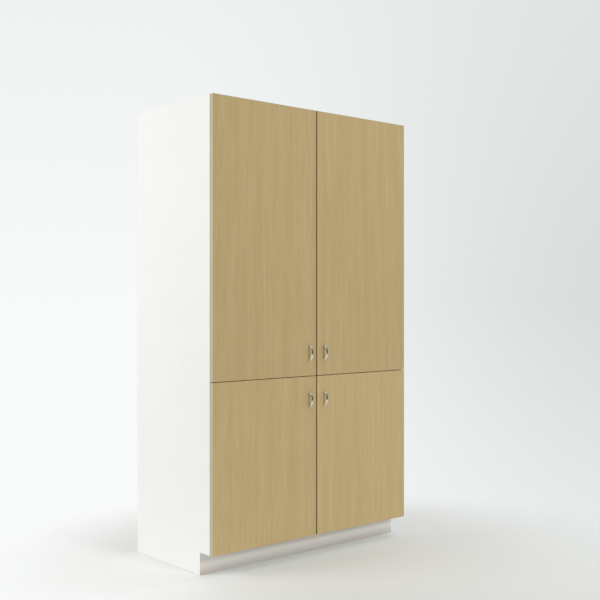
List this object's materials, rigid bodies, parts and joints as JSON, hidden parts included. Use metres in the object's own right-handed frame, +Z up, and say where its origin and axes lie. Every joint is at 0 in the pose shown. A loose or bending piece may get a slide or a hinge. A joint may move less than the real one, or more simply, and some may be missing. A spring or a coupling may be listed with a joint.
{
  "type": "tall utility cabinet",
  "caption": "Tall frameless utility cabinet: white box carcass on a recessed toe kick, two tall pale wood doors over two short ones, concealed cup hinges, small arched metal pulls.",
  "frame": {"origin": "on the floor, below the middle of the whole cabinet with its pulls", "axes": "+Z up, +Y into the depth towards the wall behind, +X to the right seen from the front"},
  "size_m": [1.219, 0.6535, 2.134],
  "materials": {
    "white_laminate": "white melamine facing on particle board, low sheen",
    "white_edge_band": "thin white edge banding, low sheen",
    "pale_wood_laminate": "pale wood-grain laminate with fine upright grain, low sheen",
    "wood_edge_band": "light wood-coloured edge banding, low sheen",
    "satin_nickel": "satin nickel plating",
    "zinc_hardware": "bright zinc and nickel plating on hinges, pins and screws",
    "clear_bumper": "milky clear soft plastic",
    "dowel_wood": "plain unfinished hardwood"
  },
  "bodies": {
    "carcass": {"left_side_panel": "white_laminate", "right_side_panel": "white_laminate", "top_panel": "white_laminate", "bottom_panel": "white_laminate", "fixed_middle_shelf": "white_laminate", "back_panel": "white_laminate", "top_nailer": "white_laminate", "middle_nailer": "white_laminate", "bottom_nailer": "white_laminate", "toe_kick_board": "white_laminate", "rear_base_rail": "white_laminate", "base_stretcher": "white_laminate", "adjustable_shelf_1": "white_laminate", "adjustable_shelf_2": "white_laminate", "adjustable_shelf_3": "white_laminate", "adjustable_shelf_4": "white_laminate", "adjustable_shelf_5": "white_laminate", "shelf_pins": "zinc_hardware", "carcass_edge_band": "white_edge_band", "door_bumpers": "clear_bumper", "joint_dowels": "dowel_wood", "hinge_plates": "zinc_hardware", "hinge_arms": "zinc_hardware", "arm_pins": "zinc_hardware", "hinge_plate_screws": "zinc_hardware"},
    "upper_left_leaf": {"upper_left_door": "pale_wood_laminate", "upper_left_edge_band": "wood_edge_band", "upper_left_pull": "satin_nickel", "upper_left_pull_screws": "zinc_hardware", "upper_left_hinge_cups": "zinc_hardware", "upper_left_cup_pins": "zinc_hardware", "upper_left_cup_screws": "zinc_hardware"},
    "upper_left_link_set": {"upper_left_hinge_links": "zinc_hardware"},
    "upper_right_leaf": {"upper_right_door": "pale_wood_laminate", "upper_right_edge_band": "wood_edge_band", "upper_right_pull": "satin_nickel", "upper_right_pull_screws": "zinc_hardware", "upper_right_hinge_cups": "zinc_hardware", "upper_right_cup_pins": "zinc_hardware", "upper_right_cup_screws": "zinc_hardware"},
    "upper_right_link_set": {"upper_right_hinge_links": "zinc_hardware"},
    "lower_left_leaf": {"lower_left_door": "pale_wood_laminate", "lower_left_edge_band": "wood_edge_band", "lower_left_pull": "satin_nickel", "lower_left_pull_screws": "zinc_hardware", "lower_left_hinge_cups": "zinc_hardware", "lower_left_cup_pins": "zinc_hardware", "lower_left_cup_screws": "zinc_hardware"},
    "lower_left_link_set": {"lower_left_hinge_links": "zinc_hardware"},
    "lower_right_leaf": {"lower_right_door": "pale_wood_laminate", "lower_right_edge_band": "wood_edge_band", "lower_right_pull": "satin_nickel", "lower_right_pull_screws": "zinc_hardware", "lower_right_hinge_cups": "zinc_hardware", "lower_right_cup_pins": "zinc_hardware", "lower_right_cup_screws": "zinc_hardware"},
    "lower_right_link_set": {"lower_right_hinge_links": "zinc_hardware"}
  },
  "joints": [
    {"name": "upper_left_link_swing", "type": "hinge", "parent": "carcass", "child": "upper_left_link_set", "pos_m": [-0.5735, -0.27725, 1.499], "axis": [0, 0, 1], "range_deg": [0, 45]},
    {"name": "upper_left_door_swing", "type": "hinge", "parent": "upper_left_link_set", "child": "upper_left_leaf", "pos_m": [-0.59822, -0.28625, 1.499], "axis": [0, 0, -1], "range_deg": [0, 155]},
    {"name": "upper_right_link_swing", "type": "hinge", "parent": "carcass", "child": "upper_right_link_set", "pos_m": [0.5735, -0.27725, 1.499], "axis": [0, 0, -1], "range_deg": [0, 45]},
    {"name": "upper_right_door_swing", "type": "hinge", "parent": "upper_right_link_set", "child": "upper_right_leaf", "pos_m": [0.59822, -0.28625, 1.499], "axis": [0, 0, 1], "range_deg": [0, 155]},
    {"name": "lower_left_link_swing", "type": "hinge", "parent": "carcass", "child": "lower_left_link_set", "pos_m": [-0.5735, -0.27725, 0.48225], "axis": [0, 0, 1], "range_deg": [0, 45]},
    {"name": "lower_left_door_swing", "type": "hinge", "parent": "lower_left_link_set", "child": "lower_left_leaf", "pos_m": [-0.59822, -0.28625, 0.48225], "axis": [0, 0, -1], "range_deg": [0, 155]},
    {"name": "lower_right_link_swing", "type": "hinge", "parent": "carcass", "child": "lower_right_link_set", "pos_m": [0.5735, -0.27725, 0.48225], "axis": [0, 0, -1], "range_deg": [0, 45]},
    {"name": "lower_right_door_swing", "type": "hinge", "parent": "lower_right_link_set", "child": "lower_right_leaf", "pos_m": [0.59822, -0.28625, 0.48225], "axis": [0, 0, 1], "range_deg": [0, 155]}
  ],
  "couplings": [
    {"joint": "upper_left_link_swing", "follows": "upper_left_door_swing", "ratio": 0.2903},
    {"joint": "upper_right_link_swing", "follows": "upper_right_door_swing", "ratio": 0.2903},
    {"joint": "lower_left_link_swing", "follows": "lower_left_door_swing", "ratio": 0.2903},
    {"joint": "lower_right_link_swing", "follows": "lower_right_door_swing", "ratio": 0.2903}
  ]
}
